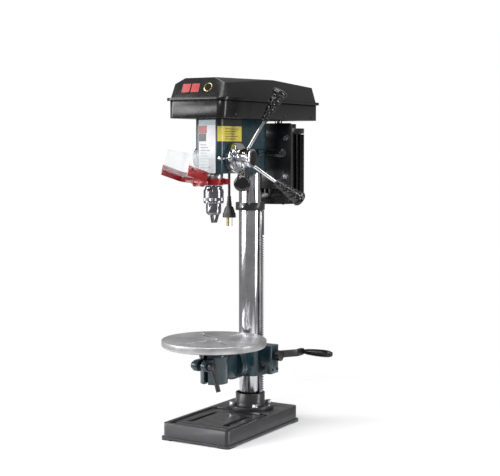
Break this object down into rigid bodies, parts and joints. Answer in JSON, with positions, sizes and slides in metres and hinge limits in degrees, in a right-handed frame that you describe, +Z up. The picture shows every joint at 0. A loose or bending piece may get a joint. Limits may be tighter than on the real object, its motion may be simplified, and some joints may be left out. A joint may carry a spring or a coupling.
{
  "type": "drill press",
  "caption": "Bench drill press with cast base, round column, crank-raised tilting round table, belt-driven head, sliding quill, keyed chuck, three-spoke feed and flip-up chuck guard.",
  "frame": {"origin": "on the floor, on the column's axis, in the base's underside", "axes": "+Z up along the column; the front of the machine faces -Y; the feed handle, rack and table crank are on +X"},
  "size_m": [0.331, 0.5565, 0.908],
  "materials": {
    "black_iron": "semi-gloss black enamel on sand-cast iron",
    "teal_iron": "semi-gloss dark teal enamel on cast iron",
    "machined_iron": "turned face with fine rings",
    "polished_steel": "ground and polished",
    "rack_steel": "milled, lightly oiled",
    "gear_steel": "machined and oiled",
    "black_steel": "satin black",
    "zinc": "bright zinc plate",
    "chrome": "polished chrome",
    "chuck_steel": "dark hardened steel, polished",
    "black_plastic": "moulded, satin gloss",
    "grip_plastic": "moulded with a raised dot pattern",
    "red_plastic": "moulded red",
    "green_plastic": "moulded green",
    "clear_sheet": "clear polycarbonate sheet",
    "aluminium": "turned die casting",
    "belt_rubber": "fabric-faced rubber",
    "lead_rubber": "matt black flexible jacket",
    "copper": "varnished windings",
    "spring_steel": "blued spring steel"
  },
  "bodies": {
    "base": {"base_casting": "black_iron", "column_flange": "black_iron", "flange_bolts": "zinc", "column": "polished_steel", "rack_collar": "black_steel"},
    "rack": {"rack": "rack_steel"},
    "bracket": {"table_bracket": "teal_iron", "tilt_bolt": "gear_steel"},
    "bracket_lever": {"bracket_lock_lever": "black_steel"},
    "lift_gear": {"lift_gear": "gear_steel"},
    "crank": {"lift_worm": "gear_steel", "crank_arm": "black_steel"},
    "crank_grip": {"crank_grip": "black_plastic"},
    "arm": {"table_arm": "teal_iron"},
    "table": {"table_top": "machined_iron", "table_stem": "teal_iron"},
    "table_lever": {"table_lock_lever": "black_steel"},
    "head": {"head_casting": "teal_iron", "spring_cover": "black_steel", "return_spring": "spring_steel", "pulley_bearing": "gear_steel", "idler_post": "gear_steel", "front_belt": "belt_rubber", "rear_belt": "belt_rubber", "hood_pan": "black_plastic", "switch_box": "black_plastic", "cord_gland": "lead_rubber", "cord_hook": "black_plastic", "cord_lead": "lead_rubber", "cord_coil": "lead_rubber", "cord_tail": "lead_rubber", "plug": "lead_rubber"},
    "tension_knob": {"tension_knob": "black_plastic"},
    "motor": {"motor_bars": "polished_steel", "motor_plate": "black_steel", "motor_housing": "black_plastic", "motor_stator": "copper"},
    "rotor": {"motor_rotor": "gear_steel", "motor_pulley": "aluminium"},
    "idler": {"idler_pulley": "aluminium"},
    "drive_sleeve": {"spindle_pulley": "aluminium"},
    "cover": {"hood_cover": "black_plastic"},
    "quill": {"quill": "gear_steel", "quill_bearing": "gear_steel", "guard_clamp": "red_plastic"},
    "feed": {"feed_shaft": "gear_steel", "feed_hub": "chrome", "feed_spokes": "chrome", "feed_grips": "grip_plastic"},
    "depth_stop": {"depth_ring": "chrome"},
    "spindle": {"spindle": "polished_steel", "chuck_body": "chuck_steel"},
    "chuck_sleeve": {"chuck_sleeve": "chuck_steel"},
    "jaw_1": {"jaw_1": "chuck_steel"},
    "jaw_2": {"jaw_2": "chuck_steel"},
    "jaw_3": {"jaw_3": "chuck_steel"},
    "guard": {"guard_frame": "red_plastic", "guard_shield": "clear_sheet"},
    "start_button": {"start_button": "green_plastic"},
    "stop_button": {"stop_button": "red_plastic"}
  },
  "joints": [
    {"name": "table_swing", "type": "hinge", "parent": "base", "child": "rack", "pos_m": [0, 0, 0.3], "axis": [0, 0, 1], "range_deg": [-90, 90]},
    {"name": "table_lift", "type": "slide", "parent": "rack", "child": "bracket", "axis": [0, 0, 1], "range_m": [-0.0441, 0.2452]},
    {"name": "table_crank", "type": "hinge", "parent": "bracket", "child": "crank", "pos_m": [0.051, 0, 0.19], "axis": [1, 0, 0], "range_deg": [-2520, 14040]},
    {"name": "lift_gear_turn", "type": "hinge", "parent": "bracket", "child": "lift_gear", "pos_m": [0.051, 0, 0.168], "axis": [0, -1, 0], "range_deg": [-181, 1004]},
    {"name": "crank_grip_spin", "type": "hinge", "parent": "crank", "child": "crank_grip", "pos_m": [0.15, 0.088, 0.19], "axis": [1, 0, 0], "continuous": true},
    {"name": "bracket_lock", "type": "hinge", "parent": "bracket", "child": "bracket_lever", "pos_m": [-0.052, 0, 0.175], "axis": [0, 1, 0], "range_deg": [0, 60]},
    {"name": "table_tilt", "type": "hinge", "parent": "bracket", "child": "arm", "pos_m": [0, -0.1, 0.175], "axis": [0, 1, 0], "range_deg": [-45, 45]},
    {"name": "table_turn", "type": "hinge", "parent": "arm", "child": "table", "pos_m": [0, -0.178, 0.2], "axis": [0, 0, 1], "continuous": true},
    {"name": "table_lock", "type": "hinge", "parent": "arm", "child": "table_lever", "pos_m": [0, -0.232, 0.191], "axis": [1, 0, 0], "range_deg": [-70, 20]},
    {"name": "head_swing", "type": "hinge", "parent": "base", "child": "head", "pos_m": [0, 0, 0.74], "axis": [0, 0, -1], "range_deg": [-90, 90]},
    {"name": "tension_lock", "type": "hinge", "parent": "head", "child": "tension_knob", "pos_m": [0.07, 0, 0.721], "axis": [1, 0, 0], "range_deg": [-180, 180]},
    {"name": "motor_slide", "type": "slide", "parent": "head", "child": "motor", "axis": [0, 1, 0], "range_m": [-0.012, 0]},
    {"name": "motor_spin", "type": "hinge", "parent": "motor", "child": "rotor", "pos_m": [0, 0.15, 0.7], "axis": [0, 0, 1], "continuous": true},
    {"name": "idler_spin", "type": "hinge", "parent": "head", "child": "idler", "pos_m": [0, -0.012, 0.84], "axis": [0, 0, 1], "continuous": true},
    {"name": "drive_sleeve_spin", "type": "hinge", "parent": "head", "child": "drive_sleeve", "pos_m": [0, -0.178, 0.84], "axis": [0, 0, 1], "continuous": true},
    {"name": "hood_open", "type": "hinge", "parent": "head", "child": "cover", "pos_m": [-0.094, 0, 0.8525], "axis": [0, -1, 0], "range_deg": [0, 95]},
    {"name": "quill_feed", "type": "slide", "parent": "head", "child": "quill", "axis": [0, 0, -1], "range_m": [0, 0.08], "stiffness_N_per_m": 450, "springref_m": -0.2},
    {"name": "feed_turn", "type": "hinge", "parent": "head", "child": "feed", "pos_m": [0, -0.153, 0.708], "axis": [1, 0, 0], "range_deg": [0, 387]},
    {"name": "depth_stop_turn", "type": "hinge", "parent": "feed", "child": "depth_stop", "pos_m": [0.055, -0.153, 0.708], "axis": [1, 0, 0], "range_deg": [-170, 170]},
    {"name": "spindle_spin", "type": "hinge", "parent": "quill", "child": "spindle", "pos_m": [0, -0.178, 0.7], "axis": [0, 0, 1], "continuous": true},
    {"name": "chuck_turn", "type": "hinge", "parent": "spindle", "child": "chuck_sleeve", "pos_m": [0, -0.178, 0.61], "axis": [0, 0, 1], "range_deg": [0, 720]},
    {"name": "jaw_1_slide", "type": "slide", "parent": "spindle", "child": "jaw_1", "axis": [0, -0.2588, 0.9659], "range_m": [0, 0.0161]},
    {"name": "jaw_2_slide", "type": "slide", "parent": "spindle", "child": "jaw_2", "axis": [0.2241, 0.1294, 0.9659], "range_m": [0, 0.0161]},
    {"name": "jaw_3_slide", "type": "slide", "parent": "spindle", "child": "jaw_3", "axis": [-0.2241, 0.1294, 0.9659], "range_m": [0, 0.0161]},
    {"name": "guard_flip", "type": "hinge", "parent": "quill", "child": "guard", "pos_m": [-0.01294, -0.2263, 0.643], "axis": [0.9659, -0.2588, 0], "range_deg": [0, 196]},
    {"name": "start_press", "type": "slide", "parent": "head", "child": "start_button", "axis": [1, 0, 0], "range_m": [0, 0.003], "stiffness_N_per_m": 600, "springref_m": -0.002},
    {"name": "stop_press", "type": "slide", "parent": "head", "child": "stop_button", "axis": [1, 0, 0], "range_m": [0, 0.003], "stiffness_N_per_m": 600, "springref_m": -0.002}
  ],
  "couplings": [
    {"joint": "table_lift", "follows": "table_crank", "m_per_rad": 0.001},
    {"joint": "lift_gear_turn", "follows": "table_crank", "ratio": 0.071429},
    {"joint": "feed_turn", "follows": "quill_feed", "rad_per_m": 84.211},
    {"joint": "spindle_spin", "follows": "motor_spin", "ratio": 0.65533},
    {"joint": "drive_sleeve_spin", "follows": "motor_spin", "ratio": 0.65533},
    {"joint": "idler_spin", "follows": "motor_spin", "ratio": 0.80952},
    {"joint": "jaw_1_slide", "follows": "chuck_turn", "m_per_rad": 0.0012732},
    {"joint": "jaw_2_slide", "follows": "chuck_turn", "m_per_rad": 0.0012732},
    {"joint": "jaw_3_slide", "follows": "chuck_turn", "m_per_rad": 0.0012732}
  ]
}
